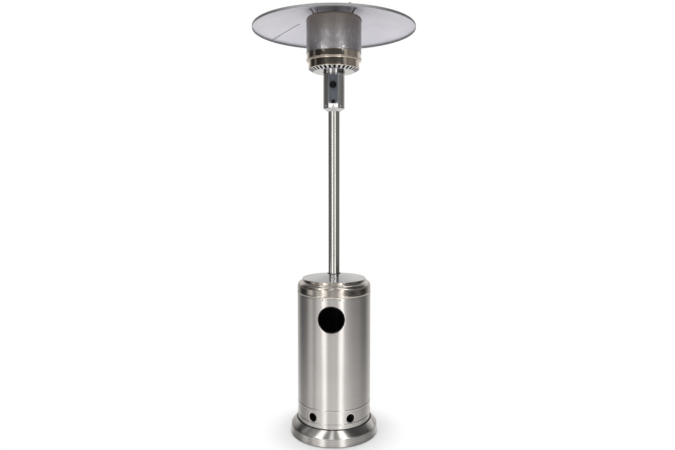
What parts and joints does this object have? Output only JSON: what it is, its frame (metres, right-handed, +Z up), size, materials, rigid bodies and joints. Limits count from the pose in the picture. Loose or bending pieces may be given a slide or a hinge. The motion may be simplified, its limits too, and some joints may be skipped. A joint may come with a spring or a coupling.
{
  "type": "outdoor heater",
  "caption": "Free-standing gas patio heater: weighted round base, lift-up bottle housing, post, control head, perforated emitter and a wide conical reflector.",
  "frame": {"origin": "centre of the base on the floor, under the post's axis", "axes": "+Z up along the post, -Y towards the control knob and the access hole, +X to the right seen from the front"},
  "size_m": [0.8199, 0.82, 2.2014],
  "materials": {
    "stainless_satin": "satin, fine vertical brushing",
    "stainless_polished": "polished",
    "emitter_dark": "heat-darkened, perforated",
    "reflector_aluminium": "bright satin",
    "fastener_steel": "plated",
    "black_plastic": "fine satin",
    "black_rubber": "matt",
    "cast_iron": "as cast",
    "frame_paint": "satin black",
    "valve_brass": "machined",
    "tube_steel": "drawn",
    "ceramic_white": "glazed, stands for ceramic"
  },
  "bodies": {
    "stand": {"ballast_weight": "cast_iron", "base_cover": "stainless_satin", "base_plate": "frame_paint", "burner_bowl": "stainless_polished", "burner_cup": "cast_iron", "collar_screws": "fastener_steel", "control_housing": "stainless_satin", "control_panel": "stainless_satin", "emitter_ring": "stainless_polished", "emitter_screen": "emitter_dark", "emitter_top": "stainless_polished", "gas_injector": "valve_brass", "gas_inlet": "valve_brass", "gas_valve": "valve_brass", "head_collar": "stainless_satin", "igniter_bezel": "black_plastic", "igniter_body": "black_plastic", "leg_foot_bolts": "fastener_steel", "leg_top_bolts": "fastener_steel", "mixing_tube": "tube_steel", "panel_screws": "fastener_steel", "pilot_burner": "valve_brass", "pilot_tube": "valve_brass", "post": "stainless_satin", "post_screws": "fastener_steel", "post_socket": "frame_paint", "reflector_braces": "fastener_steel", "reflector_center": "reflector_aluminium", "reflector_nuts": "fastener_steel", "reflector_rim": "reflector_aluminium", "reflector_skirt": "reflector_aluminium", "reflector_spacers": "fastener_steel", "reflector_studs": "fastener_steel", "reflector_washers": "fastener_steel", "ring_screws": "fastener_steel", "rubber_feet": "black_rubber", "seam_screws": "fastener_steel", "spark_electrode": "ceramic_white", "support_leg_back": "frame_paint", "support_leg_left": "frame_paint", "support_leg_right": "frame_paint", "thermocouple": "fastener_steel", "tilt_switch": "black_plastic", "top_screws": "fastener_steel", "valve_nut": "valve_brass"},
    "bottle_housing": {"housing_shell": "stainless_satin", "housing_lid": "stainless_satin", "access_hole_trim": "black_rubber", "lid_bush": "black_rubber", "lid_screws": "fastener_steel"},
    "valve_plunger": {"thrust_washer": "fastener_steel"},
    "control_knob": {"control_knob": "black_plastic", "valve_stem": "fastener_steel"},
    "igniter_button": {"igniter_button": "black_plastic"}
  },
  "joints": [
    {"name": "housing_lift", "type": "slide", "parent": "stand", "child": "bottle_housing", "axis": [0, 0, 1], "range_m": [0, 0.8]},
    {"name": "knob_push", "type": "slide", "parent": "stand", "child": "valve_plunger", "axis": [0, 1, 0], "range_m": [0, 0.004], "stiffness_N_per_m": 900, "springref_m": -0.003},
    {"name": "knob_turn", "type": "hinge", "parent": "valve_plunger", "child": "control_knob", "pos_m": [0, -0.0585, 1.79884], "axis": [0, -1, 0], "range_deg": [0, 190]},
    {"name": "igniter_push", "type": "slide", "parent": "stand", "child": "igniter_button", "axis": [0, 1, 0], "range_m": [0, 0.005], "stiffness_N_per_m": 700, "springref_m": -0.003}
  ]
}
